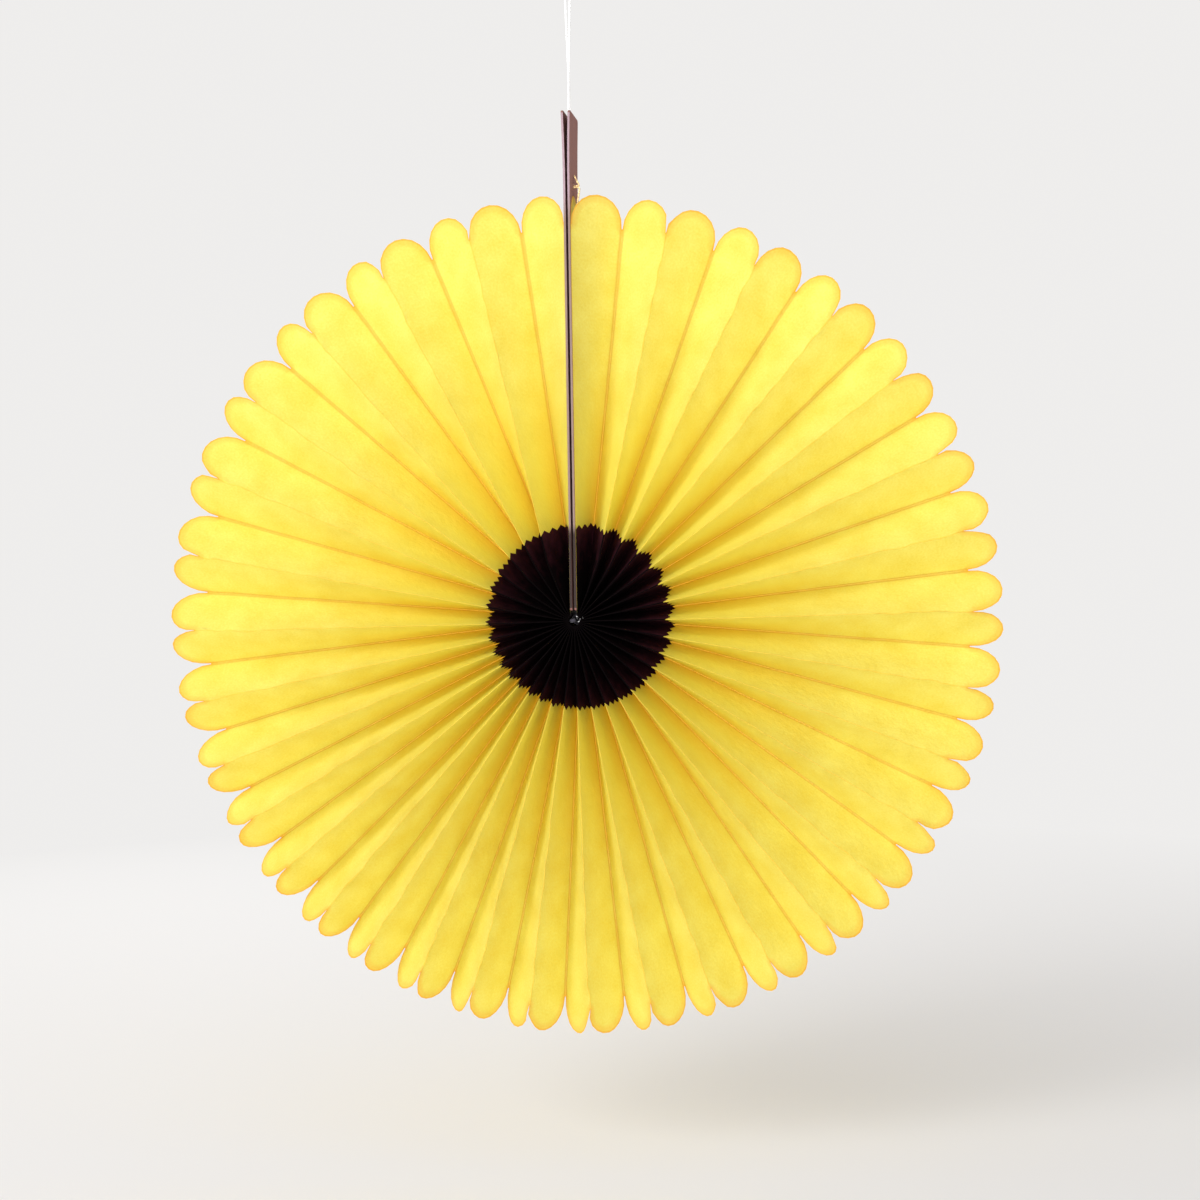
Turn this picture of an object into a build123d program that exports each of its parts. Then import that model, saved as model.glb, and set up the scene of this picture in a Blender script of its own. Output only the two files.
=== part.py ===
from build123d import *
import os
from math import asin, atan2, ceil, cos, degrees, pi, radians, sin, sqrt, tan

os.makedirs("parts", exist_ok=True)

# Paper fan rosette, opened all the way round and hung by a doubled string.
# The front faces -Y and +Z is up. The origin is the top of the string's loop.
# Angles round the fan go clockwise from the top, seen from the front.

# Petals: one long strip of tissue, folded into pleats with rounded ends
petal_radius = 165.0
petal_round = 12.0
petal_facets = 8
pleat_width = 22.0
tissue_thickness = 0.05

# Share of a pleat's width that the flattest pleat spans, and how the pleats crowd
# towards the bottom: a sine share and a cosine share for each order round the circle
pleat_reach_share = 0.86
crowding_shares = ((0.0375, 0.0046), (0.0038, -0.0034))

# Front folds beside the seam lean away from it, most at this distance from the hub
fold_lean = 5.0
lean_radius = 25.0
lean_power = 5
hold_power = 4

# Free space inside a front fold and a back fold where the pleats are gathered
front_crease = 0.04
back_crease = 0.02

# Dark centre: a second strip nested in front of the first, cut with pinking shears
centre_radius = 37.5
tooth_depth = 1.6
teeth_per_pleat = 3
nest_gap_hub = 0.015
nest_gap_edge = 0.1

# Cardboard covers, face to face at the seam. They reach past the petals and the
# fastener, and above the petals they bend a little apart
cover_rise = 27.6
cover_width = 24.0
cover_thickness = 0.8
cover_corner = 1.5
cover_start = 4.0
cover_gap = 0.86
cover_bend_radius = 900.0
glue_film = 0.02

# Paper fastener just above the petals: a domed head on the left, two splayed legs on the right
fastener_rise = 3.4
fastener_hole_radius = 1.0
head_radius = 2.4
head_thickness = 1.5
head_clearance = 0.03
leg_width = 1.6
leg_thickness = 0.5
leg_stand_off = 2.4
leg_bend_radius = 0.5
upper_leg_length = 4.6
lower_leg_length = 7.0
lower_leg_lift = 1.0
leg_clearance = 0.1

# Thread that gathers the pleats: a ring in the hole at the middle, and a strand from it
# to the knot at the front
thread_diameter = 0.8
thread_clearance = 0.1
thread_sides = 6
knot_length = 2.4
knot_width = 1.6
knot_sides = 8
knot_depth = 0.6
knot_offset = 0.6

# Hanging string: its route starts under the fastener's shank, climbs between the
# covers, turns over the hook and comes back down behind the first strand
string_diameter = 0.8
string_sides = 8
string_rise = 50.0
string_points = [
    (0.0, -0.1, -78.55),
    (0.0, -1.1, -78.55),
    (0.0, -2.1, -77.55),
    (-0.3, -1.1, -48.0),
    (1.05, 0.0, -1.9),
    (1.05, 0.0, -0.6),
    (0.0, 0.0, 0.0),
    (-1.05, 0.0, -0.6),
    (-1.05, 0.0, -1.9),
    (0.3, 1.1, -48.0),
    (0.0, 2.1, -77.55),
    (0.0, 1.1, -78.55),
    (0.0, 0.1, -78.55),
]
string_turn_share = 0.45

# Places that follow from the sizes above
fastener_height = petal_radius + fastener_rise
cover_length = fastener_height + cover_rise - cover_start
bend_start = petal_radius
glued_face = cover_gap / 2 + cover_thickness + glue_film + tissue_thickness / 2
hub_z = -(string_rise + cover_start + cover_length)
notch_radius = petal_radius - petal_round
root_radius = centre_radius - tooth_depth


# Pleated strip

def crowded(share):
    """Share of the turn that a share of the pleats takes, counted from the top."""
    total = share
    for order, (sway, lean) in enumerate(crowding_shares, start=1):
        turn = order * 2 * pi * share
        total += sway * sin(turn) + lean * (1 - cos(turn))
    return total


def widest_crowding():
    """How much wider than the average the pleats beside the seam are."""
    return 1 + sum(order * 2 * pi * sway for order, (sway, _) in enumerate(crowding_shares, 1))


# The strip has the even number of pleats that closes the circle
circle_width = 2 * pi * notch_radius * widest_crowding()
pleat_count = 2 * ceil(circle_width / (2 * pleat_width * pleat_reach_share))
front_half = (front_crease + tissue_thickness) / 2


def nest_offset(radius):
    """Distance from the middle of the petals' sheet to the middle of the dark sheet."""
    share = min(1, (radius - hub_radius) / (centre_radius - hub_radius))
    return tissue_thickness + nest_gap_hub + share * (nest_gap_edge - nest_gap_hub)


def crest_half(fold, radius):
    """Half the width of a fold's narrow crest: it takes the dark sheet inside a back fold."""
    if fold % 2 == 0:
        return front_half
    return (back_crease + tissue_thickness) / 2 + nest_offset(radius)


# The gathered pleats lie side by side round the hub, with the covers between the ends
back_half_hub = (back_crease + tissue_thickness) / 2 + tissue_thickness + nest_gap_hub
gathered_width = pleat_count * (front_half + back_half_hub)
seam_width = pi * (glued_face + front_half)
hub_radius = (gathered_width + seam_width) / (2 * pi)


def seam_angle(radius):
    return asin((glued_face + front_half) / radius)


def fold_angle(share, radius):
    """Angle of a fold: evenly spaced at the hub, crowded towards the bottom further out."""
    spread = 1 - hub_radius / radius
    evened = share + spread * (crowded(share) - share)
    start = seam_angle(radius)
    return start + (2 * pi - 2 * start) * evened


def fold_middle(fold, radius):
    """Arc length round the hub and depth towards the front of a fold, at a radius."""
    share = fold / pleat_count
    before = max(0, (fold - 1) / pleat_count)
    after = min(1, (fold + 1) / pleat_count)
    steps = (after - before) * pleat_count
    pitch = radius * (fold_angle(after, radius) - fold_angle(before, radius)) / steps
    run = pitch - front_half - crest_half(1, radius)
    rise = sqrt(pleat_width**2 - run**2)
    # Beside the seam the strip is held forward by the covers
    from_seam = abs(1 - 2 * share)
    held = (pleat_width - rise) / 2 * from_seam**hold_power
    is_front = fold % 2 == 0
    depth = held + rise / 2 if is_front else held - rise / 2
    arc = radius * fold_angle(share, radius)
    if is_front and 0 < fold < pleat_count:
        outward = 1 - radius / petal_radius
        growth = min(1, (radius - hub_radius) / (lean_radius - hub_radius))
        side = 1 if share < 0.5 else -1
        arc += side * fold_lean * from_seam**lean_power * outward * growth
    return arc, depth


def pleat_slant(pleat, radius):
    """Tangent of half the angle between a pleat and the crests beside it."""
    if pleat in (0, pleat_count + 1):
        return 1
    start_arc, start_depth = fold_middle(pleat - 1, radius)
    end_arc, end_depth = fold_middle(pleat, radius)
    run = end_arc - crest_half(pleat, radius) - start_arc - crest_half(pleat - 1, radius)
    return tan(atan2(abs(end_depth - start_depth), run) / 2)


def place(arc, depth, radius):
    angle = arc / radius
    return Vector(radius * sin(angle), -depth, hub_z + radius * cos(angle))


def crest_point(fold, side, radius, stand):
    """Side of a crest (-1 or 1), or its middle (0), a distance in front of the sheet's middle."""
    arc, depth = fold_middle(fold, radius)
    if side == 0:
        return place(arc, depth + stand, radius)
    pleat = fold if side < 0 else fold + 1
    if pleat in (0, pleat_count + 1):
        return glued_point(-side, depth + stand, radius, stand)
    turn = 1 if fold % 2 == 0 else -1
    half = crest_half(fold, radius) + turn * stand * pleat_slant(pleat, radius)
    return place(arc + side * half, depth + stand, radius)


def glued_point(side, depth, radius, stand):
    """Point of the pleat glued on a cover: side is 1 on the right and -1 on the left."""
    height = radius * cos(seam_angle(radius))
    return Vector(side * (glued_face - stand), -depth, hub_z + height)


def row_across(radius, stand, with_glued):
    """Points across the whole strip at one distance from the hub."""
    points = []
    if with_glued:
        back_edge = fold_middle(0, radius)[1] - pleat_width
        points.append(glued_point(1, back_edge, radius, stand))
        points.append(crest_point(0, -1, radius, stand))
    else:
        points.append(crest_point(0, 0, radius, stand))
    for pleat in range(1, pleat_count + 1):
        points.append(crest_point(pleat - 1, 1, radius, stand))
        points.append(crest_point(pleat, -1, radius, stand))
    if with_glued:
        points.append(crest_point(pleat_count, 1, radius, stand))
        points.append(glued_point(-1, back_edge, radius, stand))
    else:
        points.append(crest_point(pleat_count, 0, radius, stand))
    return points


def flat_face(*points):
    return Face(Wire.make_polygon(points))


def two_triangles(a, b, c, d):
    """A slightly twisted four-sided patch, split from its first corner to its third."""
    return [flat_face(a, b, c), flat_face(a, c, d)]


def strip_bands(rows):
    """Surface between successive rows of points."""
    faces = []
    for inner, outer in zip(rows, rows[1:]):
        for left in range(len(inner) - 1):
            right = left + 1
            faces += two_triangles(inner[left], outer[left], outer[right], inner[right])
    return faces


def edge_wall(front, back):
    """Wall of one sheet thickness along two matching lines of points."""
    faces = []
    for a, b, c, d in zip(front, front[1:], back[1:], back):
        faces += two_triangles(a, b, c, d)
    return faces


def petal_line(left, right, outward):
    """Half-round end of one pleat, from the fold on its left to the fold on its right."""
    line = []
    for step in range(petal_facets + 1):
        turn = pi * step / petal_facets
        across = left + (right - left) * ((1 - cos(turn)) / 2)
        line.append(across + outward * (petal_round * sin(turn)))
    return line


def between(start, end, count):
    """Radii from start to end in equal steps, both ends included."""
    return [start + (end - start) * step / count for step in range(count + 1)]


# Rows close together near the hub, where the pleats twist most
hub_row_shares = (0.0, 0.15, 0.5, 1.0)
centre_rows = [hub_radius + (root_radius - hub_radius) * share for share in hub_row_shares]
outer_row_count = 3
petal_rows = centre_rows + between(centre_radius, notch_radius, outer_row_count)


def petal_sheet():
    """The yellow strip: pleats, rounded petals and both glued end pleats, as one solid."""
    half = tissue_thickness / 2
    fronts = [row_across(radius, half, True) for radius in petal_rows]
    backs = [row_across(radius, -half, True) for radius in petal_rows]
    faces = strip_bands(fronts) + strip_bands(backs)
    faces += edge_wall(fronts[0], backs[0])
    for side in (0, -1):
        faces += edge_wall([row[side] for row in fronts], [row[side] for row in backs])
    front_end, back_end, before = fronts[-1], backs[-1], fronts[-2]
    for left in range(0, len(front_end), 2):
        right = left + 1
        outward = (front_end[left] - before[left] + front_end[right] - before[right]).normalized()
        front_line = petal_line(front_end[left], front_end[right], outward)
        back_line = petal_line(back_end[left], back_end[right], outward)
        faces += [flat_face(*front_line), flat_face(*back_line)]
        faces += edge_wall(front_line, back_line)
        if right + 1 < len(front_end):
            crest = slice(right, right + 2)
            faces += edge_wall(front_end[crest], back_end[crest])
    return Solid(Shell(faces))


def tooth_roots(left, right):
    return [left + (right - left) * step / teeth_per_pleat for step in range(teeth_per_pleat + 1)]


def tooth_tips(left, right):
    steps = [step + 0.5 for step in range(teeth_per_pleat)]
    return [left + (right - left) * step / teeth_per_pleat for step in steps]


def dark_sheet():
    """The dark strip, nested in front of the petals' folds, with a pinked outer edge."""
    middles = [nest_offset(radius) for radius in centre_rows]
    half = tissue_thickness / 2
    layers = []
    for side in (half, -half):
        rows = [row_across(r, middle + side, False) for r, middle in zip(centre_rows, middles)]
        edge = row_across(centre_radius, nest_offset(centre_radius) + side, False)
        layers.append((rows, edge))
    faces = []
    for rows, _ in layers:
        faces += strip_bands(rows[:-1])
    (fronts, front_edge), (backs, back_edge) = layers
    faces += edge_wall(fronts[0], backs[0])
    for side in (0, -1):
        faces += edge_wall([row[side] for row in fronts], [row[side] for row in backs])
    for left in range(len(front_edge) - 1):
        right = left + 1
        if left % 2 == 0:
            for rows, _ in layers:
                a, b, c, d = rows[-2][left], rows[-1][left], rows[-1][right], rows[-2][right]
                faces += two_triangles(a, b, c, d)
            faces += edge_wall(fronts[-1][left:right + 1], backs[-1][left:right + 1])
            continue
        lines = []
        for rows, edge in layers:
            roots = tooth_roots(rows[-1][left], rows[-1][right])
            tips = tooth_tips(edge[left], edge[right])
            faces.append(flat_face(rows[-2][left], *roots))
            faces.append(flat_face(rows[-2][left], rows[-1][right], rows[-2][right]))
            line = [roots[0]]
            for root, tip, following in zip(roots, tips, roots[1:]):
                faces.append(flat_face(root, tip, following))
                line += [tip, following]
            lines.append(line)
        faces += edge_wall(*lines)
    return Solid(Shell(faces))


petal_solid = petal_sheet()
with BuildPart() as petal_fan:
    add(petal_solid)
petal_fan.part.label = "petal_fan"

dark_solid = dark_sheet()
with BuildPart() as dark_centre:
    add(dark_solid)
dark_centre.part.label = "dark_centre"


# Cardboard covers

def cover(side):
    """A board that bends gently away from the seam at its top: 1 on the right, -1 on the left."""
    profile_plane = Plane(origin=(0, 0, hub_z), x_dir=(side, 0, 0), z_dir=(0, -side, 0))
    outline_plane = Plane(origin=(0, 0, hub_z), x_dir=(0, 1, 0), z_dir=(1, 0, 0))
    inner_x = cover_gap / 2
    outer_x = inner_x + cover_thickness
    centre = (inner_x + cover_bend_radius, bend_start)
    past_top = cover_start + cover_length + cover_corner - bend_start
    turn = -degrees(asin(past_top / cover_bend_radius))
    with BuildPart() as board:
        with BuildSketch(profile_plane):
            with BuildLine():
                inner = CenterArc(centre, cover_bend_radius, 180, turn)
                outer = CenterArc(centre, cover_bend_radius - cover_thickness, 180, turn)
                Line(inner @ 1, outer @ 1)
                Line(inner @ 0, (inner_x, cover_start))
                Line((inner_x, cover_start), (outer_x, cover_start))
                Line((outer_x, cover_start), outer @ 0)
            make_face()
        extrude(amount=cover_width / 2, both=True)
        with BuildSketch(outline_plane):
            with Locations((0, cover_start + cover_length / 2)):
                RectangleRounded(cover_width, cover_length, cover_corner)
            with Locations((0, fastener_height)):
                Circle(fastener_hole_radius, mode=Mode.SUBTRACT)
        extrude(amount=cover_width, both=True, mode=Mode.INTERSECT)
    return board.part


right_board = cover(1)
with BuildPart() as cover_right:
    add(right_board)
cover_right.part.label = "cover_right"

left_board = cover(-1)
with BuildPart() as cover_left:
    add(left_board)
cover_left.part.label = "cover_left"


# Paper fastener

fastener_z = hub_z + fastener_height
above_bend = fastener_height - bend_start
face_bend_radius = cover_bend_radius - cover_thickness
outer_face_x = cover_gap / 2 + cover_bend_radius - sqrt(face_bend_radius**2 - above_bend**2)
head_x = -(outer_face_x + head_clearance)
bend_x = outer_face_x + leg_stand_off


def leg_path(turn, length, lift):
    """Centre line of one leg: out of the head, through the covers and back to the cover's face."""
    shank_z = fastener_z + turn * leg_thickness / 2
    tip_x = outer_face_x + leg_clearance + leg_thickness / 2 + lift
    reach = sqrt(length**2 - (bend_x - tip_x) ** 2)
    return [(head_x, 0, shank_z), (bend_x, 0, shank_z), (tip_x, 0, shank_z + turn * reach)]


upper_leg = leg_path(1, upper_leg_length, 0)
lower_leg = leg_path(-1, lower_leg_length, lower_leg_lift)

with BuildPart() as paper_fastener:
    head_plane = Plane(origin=(head_x, 0, fastener_z), x_dir=(0, 0, 1), z_dir=(0, -1, 0))
    with BuildSketch(head_plane) as head_profile:
        with BuildLine():
            SagittaArc((head_radius, 0), (-head_radius, 0), -head_thickness)
            Line((-head_radius, 0), (head_radius, 0))
        make_face()
        with Locations((-head_radius, 0)):
            Rectangle(2 * head_radius, 4 * head_radius, mode=Mode.SUBTRACT)
    revolve(axis=Axis((head_x, 0, fastener_z), (1, 0, 0)))
    for leg in (upper_leg, lower_leg):
        with BuildLine() as leg_line:
            FilletPolyline(*leg, radius=leg_bend_radius)
        with BuildSketch(Plane(origin=leg[0], x_dir=(0, 1, 0), z_dir=(1, 0, 0))):
            Rectangle(leg_width, leg_thickness)
        sweep(path=leg_line.wires()[0], transition=Transition.RIGHT)
paper_fastener.part.label = "paper_fastener"


# Hanging string

def turn_radii(points):
    """Largest arc at each corner that its two runs leave room for."""
    route = [Vector(*point) for point in points]
    radii = []
    for before, corner, after in zip(route, route[1:], route[2:]):
        arriving = corner - before
        leaving = after - corner
        half_turn = radians(arriving.get_angle(leaving)) / 2
        shorter = min(arriving.length, leaving.length)
        radii.append(string_turn_share * shorter / tan(half_turn))
    return radii


string_radii = turn_radii(string_points)
print("string radii:", [round(radius, 2) for radius in string_radii])

with BuildPart() as hanging_string:
    with BuildLine() as string_line:
        FilletPolyline(*string_points, radius=string_radii)
    string_wire = string_line.wires()[0]
    with BuildSketch(Plane(origin=string_wire @ 0, z_dir=string_wire % 0)):
        RegularPolygon(string_diameter / 2, string_sides)
    sweep(path=string_wire)
hanging_string.part.label = "hanging_string"
string_section = string_sides / 2 * (string_diameter / 2) ** 2 * sin(2 * pi / string_sides)
print("string length:", round(string_wire.length, 2))
print("string volume over section times length:",
      round(hanging_string.part.volume / (string_section * string_wire.length), 4))


# Gathering thread

ring_radius = hub_radius - thread_clearance - thread_diameter / 2
knot_x = -knot_offset
knot_y = knot_depth + knot_width / 2 - pleat_width / 2
strand_start = Vector(-ring_radius, 0, hub_z)
strand = Vector(knot_x, knot_y, hub_z) - strand_start

with BuildPart() as centre_thread:
    with BuildSketch(Plane.XY.offset(hub_z)) as thread_section:
        with Locations((ring_radius, 0)):
            RegularPolygon(thread_diameter / 2, thread_sides)
    revolve(axis=Axis((0, 0, hub_z), (0, 1, 0)))
    with BuildSketch(Plane(origin=strand_start, z_dir=strand)) as strand_section:
        RegularPolygon(thread_diameter / 2, thread_sides)
    extrude(amount=strand.length)
    with BuildSketch(Plane(origin=(knot_x, knot_y, hub_z), z_dir=(0, 0, 1))) as knot_profile:
        with BuildLine():
            turns = [pi * step / knot_sides for step in range(knot_sides + 1)]
            Polyline(*[(knot_length / 2 * cos(t), knot_width / 2 * sin(t)) for t in turns], close=True)
        make_face()
    revolve(axis=Axis((knot_x, knot_y, hub_z), (1, 0, 0)))
centre_thread.part.label = "centre_thread"


export_step(petal_fan.part, "parts/petal_fan.step")
export_step(dark_centre.part, "parts/dark_centre.step")
export_step(cover_right.part, "parts/cover_right.step")
export_step(cover_left.part, "parts/cover_left.step")
export_step(paper_fastener.part, "parts/paper_fastener.step")
export_step(hanging_string.part, "parts/hanging_string.step")
export_step(centre_thread.part, "parts/centre_thread.step")
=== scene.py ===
from math import cos, pi, radians, sin, tau

import bpy
from bpy.props import FloatProperty, FloatVectorProperty, IntProperty, PointerProperty
from bpy.types import Operator, Panel, PropertyGroup
from mathutils import Matrix, Vector


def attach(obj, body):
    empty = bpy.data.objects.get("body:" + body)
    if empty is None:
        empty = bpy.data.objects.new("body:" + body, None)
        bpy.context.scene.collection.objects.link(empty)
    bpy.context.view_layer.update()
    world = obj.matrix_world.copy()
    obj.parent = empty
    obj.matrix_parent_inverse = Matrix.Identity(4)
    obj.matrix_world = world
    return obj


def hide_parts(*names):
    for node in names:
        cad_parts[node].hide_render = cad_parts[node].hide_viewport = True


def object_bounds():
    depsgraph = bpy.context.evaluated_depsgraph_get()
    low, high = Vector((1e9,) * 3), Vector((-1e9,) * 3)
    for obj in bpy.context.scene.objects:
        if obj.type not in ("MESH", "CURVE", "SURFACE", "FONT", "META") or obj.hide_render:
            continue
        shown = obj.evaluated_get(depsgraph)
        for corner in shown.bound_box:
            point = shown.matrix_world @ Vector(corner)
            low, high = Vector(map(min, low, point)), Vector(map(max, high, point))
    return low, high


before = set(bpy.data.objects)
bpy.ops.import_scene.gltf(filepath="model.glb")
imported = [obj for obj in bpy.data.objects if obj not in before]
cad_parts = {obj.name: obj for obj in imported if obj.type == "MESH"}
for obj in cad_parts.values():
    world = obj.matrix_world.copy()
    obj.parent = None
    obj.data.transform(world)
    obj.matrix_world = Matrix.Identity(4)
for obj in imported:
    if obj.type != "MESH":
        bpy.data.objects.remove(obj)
CAD_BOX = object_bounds()

bl_info = {
    "name": "Paper fan rosette",
    "version": (1, 0, 0),
    "blender": (4, 5, 0),
    "location": "3D View > Sidebar > Paper Fan",
    "description": "Makes a pleated tissue fan that hangs from a doubled string",
    "category": "Object",
}

# The tissue's sizes and where it is gathered, in metres, as the solids have them, and the
# radius inside which the paper lies calm
TISSUE_SIZES = {
    "Pleats": 66,
    "Pleat Width": 0.022,
    "Petal Radius": 0.165,
    "Petal Round": 0.012,
    "Gather Radius": 0.002183,
    "Hub Height": -0.246,
    "Cover Distance": 0.001275,
    "Front Crest": 0.000045,
    "Back Crest": 0.000035,
    "Nest Radius": 0.0375,
    "Nest At Hub": 0.000065,
    "Nest At Edge": 0.00015,
    "Fold Lean": 0.005,
    "Lean Radius": 0.025,
    "Sine Crowding 1": 0.0375,
    "Sine Crowding 2": 0.0038,
    "Cosine Crowding 1": 0.0046,
    "Cosine Crowding 2": -0.0034,
    "Calm Radius": 0.035,
}
WHOLE_NUMBERS = ("Pleats", "Columns", "Rows", "Teeth", "Seed")
LEAN_POWER = 5
HOLD_POWER = 4

# How finely the thin paper wavers and bulges, and how much of the front folds' wavering
# the back folds have
PAPER_NOISE = {"Wave Scale": 110.0, "Bulge Scale": 42.0, "Seed": 4}
BACK_WAVER = 0.15

# Edges are sharp where the paper turns by more than this angle, in radians
SHARP_ANGLE = 0.4

# Free margin on both sides of each pleat in the strip's map, as a share of the pleat
MAP_MARGIN = 0.004

# Gap below the fan, how far the floor goes each way, where it begins to fade and over how
# far, in metres
FLOOR_GAP = 0.06
FLOOR_HALF = 6.0
FADE_START = 0.15
FADE_REACH = 0.75

# Lamps: name, place, side of the lamp in metres, and watts
LAMPS = (
    ("window lamp", (-1.35, -1.6, 0.75), 0.9, 26.0),
    ("fill lamp", (0.15, -1.7, -0.5), 0.9, 36.0),
    ("back lamp", (-0.5, 0.9, 0.1), 0.8, 4.0),
)
WORLD_COLOUR = (1.0, 0.98, 0.97, 1.0)
WORLD_STRENGTH = 0.56

# Lens and film of the camera in millimetres, and how far the middle of its picture lies to
# the right of the hub and above it, in metres
LENS = 60.0
FILM = 36.0
PICTURE_RIGHT = 0.00886
PICTURE_UP = 0.00748

# Widths of the lines on the yellow tissue, in metres: the orange painted shade in the crease of
# a back fold, the soft painted shade along a front fold, and the rim of a petal with the dye
# that soaks in from it
CREASE_SHADE_WIDTH = 0.0006
FOLD_SHADE_WIDTH = 0.00025
RIM_WIDTH = 0.0005
SOAK_WIDTH = 0.0018

# How far the shade in a valley reaches up the pleats, in metres
VALLEY_WIDTH = 0.013

# The covers: half their width and how deep their cut edges look, in metres, and the painted
# shade on those edges: yellow-brown among the petals, near black by the dark centre
COVER_HALF = 0.012
CUT_DEPTH = 0.00006
PETAL_SHADE = (0.17, 0.11, 0.02)
CENTRE_SHADE = (0.016, 0.010, 0.009)

# The string's route, in metres: under the fastener's shank, up between the covers,
# over the hook and back down behind the first strand
STRING_ROUTE = (
    (0.0, -0.0001, -0.07855),
    (0.0, -0.0011, -0.07855),
    (0.0, -0.0021, -0.07755),
    (-0.0003, -0.0011, -0.048),
    (0.00105, 0.0, -0.0019),
    (0.00105, 0.0, -0.0006),
    (0.0, 0.0, 0.0),
    (-0.00105, 0.0, -0.0006),
    (-0.00105, 0.0, -0.0019),
    (0.0003, 0.0011, -0.048),
    (0.0, 0.0021, -0.07755),
    (0.0, 0.0011, -0.07855),
    (0.0, 0.0001, -0.07855),
)


# Sizes and colours that a user may change

class TissueSettings(PropertyGroup):
    thickness: FloatProperty(
        name="Thickness", description="Thickness of the tissue",
        default=0.00005, min=0.00002, unit="LENGTH")
    waviness: FloatProperty(
        name="Waviness", description="How far the front folds stray from a straight line",
        default=0.0018, min=0.0, unit="LENGTH")
    buckling: FloatProperty(
        name="Buckling", description="How far the pleats bulge to the front and back",
        default=0.0004, min=0.0, unit="LENGTH")
    teeth: IntProperty(
        name="Teeth", description="Pinked teeth along the edge of each dark pleat",
        default=3, min=1)
    tooth_depth: FloatProperty(
        name="Tooth Depth", description="Depth of the pinked teeth",
        default=0.0016, min=0.0, unit="LENGTH")
    yellow: FloatVectorProperty(
        name="Petals", description="Colour of the yellow tissue",
        default=(0.91, 0.87, 0.25), subtype="COLOR", min=0.0, max=1.0)
    # The rims' colour, which also tints the painted shade in the creases and valleys
    orange: FloatVectorProperty(
        name="Petal Rims", description="Colour of the cut rims and of the creases behind",
        default=(0.95, 0.54, 0.04), subtype="COLOR", min=0.0, max=1.0)
    dark: FloatVectorProperty(
        name="Centre", description="Colour of the dark tissue",
        default=(0.005, 0.0025, 0.003), subtype="COLOR", min=0.0, max=1.0)


class CoverSettings(PropertyGroup):
    face: FloatVectorProperty(
        name="Cover Faces", description="Colour of the covers' faces",
        default=(0.30, 0.14, 0.12), subtype="COLOR", min=0.0, max=1.0)
    edge: FloatVectorProperty(
        name="Cover Edges", description="Colour of the cut cardboard edges",
        default=(0.45, 0.32, 0.36), subtype="COLOR", min=0.0, max=1.0)
    brass: FloatVectorProperty(
        name="Fastener", description="Colour of the brass fastener",
        default=(0.80, 0.58, 0.28), subtype="COLOR", min=0.0, max=1.0)


class StringSettings(PropertyGroup):
    diameter: FloatProperty(
        name="Diameter", description="Thickness of the hanging string",
        default=0.0008, min=0.0003, unit="LENGTH")
    white: FloatVectorProperty(
        name="String", description="Colour of the hanging string",
        default=(0.95, 0.95, 0.95), subtype="COLOR", min=0.0, max=1.0)
    thread: FloatVectorProperty(
        name="Thread", description="Colour of the thread that gathers the pleats",
        default=(0.05, 0.045, 0.06), subtype="COLOR", min=0.0, max=1.0)


class StageSettings(PropertyGroup):
    distance: FloatProperty(
        name="Camera Distance", description="Distance from the camera to the middle of the fan",
        default=0.787, min=0.3, unit="LENGTH")
    yaw: FloatProperty(
        name="Camera Yaw", description="How far the camera stands to the right",
        default=radians(7.0), subtype="ANGLE", unit="ROTATION")
    pitch: FloatProperty(
        name="Camera Pitch", description="How far the camera stands above the fan's middle",
        default=radians(2.9), subtype="ANGLE", unit="ROTATION")
    roll: FloatProperty(
        name="Camera Roll", description="How far the picture leans",
        default=radians(-0.9), subtype="ANGLE", unit="ROTATION")
    backdrop: FloatVectorProperty(
        name="Backdrop", description="Colour of the backdrop and the floor",
        default=(0.86, 0.85, 0.84), subtype="COLOR", min=0.0, max=1.0)


# Numbers, vectors and sockets in node trees

class Number:
    """A number in a node tree. Sums and products of it add Math nodes to the tree."""

    def __init__(self, tree, socket):
        self.tree = tree
        self.socket = socket

    def math(self, operation, *others, clamp=False):
        node = self.tree.nodes.new("ShaderNodeMath")
        node.operation = operation
        node.use_clamp = clamp
        for place, value in enumerate((self, *others)):
            plug(self.tree, value, node.inputs[place])
        return Number(self.tree, node.outputs[0])

    def __add__(self, other):
        return self.math("ADD", other)

    def __sub__(self, other):
        return self.math("SUBTRACT", other)

    def __rsub__(self, other):
        return constant(self.tree, other).math("SUBTRACT", self)

    def __mul__(self, other):
        return self.math("MULTIPLY", other)

    def __truediv__(self, other):
        return self.math("DIVIDE", other)

    def __pow__(self, other):
        return self.math("POWER", other)

    def clamped(self):
        return self.math("ADD", 0.0, clamp=True)


def plug(tree, value, socket):
    """Links a Number or a socket into an input, or sets a plain value on it."""
    if isinstance(value, Number):
        tree.links.new(value.socket, socket)
    elif isinstance(value, bpy.types.NodeSocket):
        tree.links.new(value, socket)
    else:
        socket.default_value = value


def constant(tree, value):
    node = tree.nodes.new("ShaderNodeValue")
    node.outputs[0].default_value = value
    return Number(tree, node.outputs[0])


def xyz(tree, x, y, z):
    node = tree.nodes.new("ShaderNodeCombineXYZ")
    for value, socket in zip((x, y, z), node.inputs):
        plug(tree, value, socket)
    return node.outputs[0]


def parts_of(tree, vector):
    node = tree.nodes.new("ShaderNodeSeparateXYZ")
    tree.links.new(vector, node.inputs[0])
    return [Number(tree, socket) for socket in node.outputs]


def noise(tree, vector, scale, detail=2.0):
    """Soft noise from -1 to 1, three independent ones."""
    node = tree.nodes.new("ShaderNodeTexNoise")
    tree.links.new(vector, node.inputs["Vector"])
    plug(tree, scale, node.inputs["Scale"])
    node.inputs["Detail"].default_value = detail
    return [(part - 0.5) * 2.0 for part in parts_of(tree, node.outputs["Color"])]


# Pleated tissue

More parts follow.
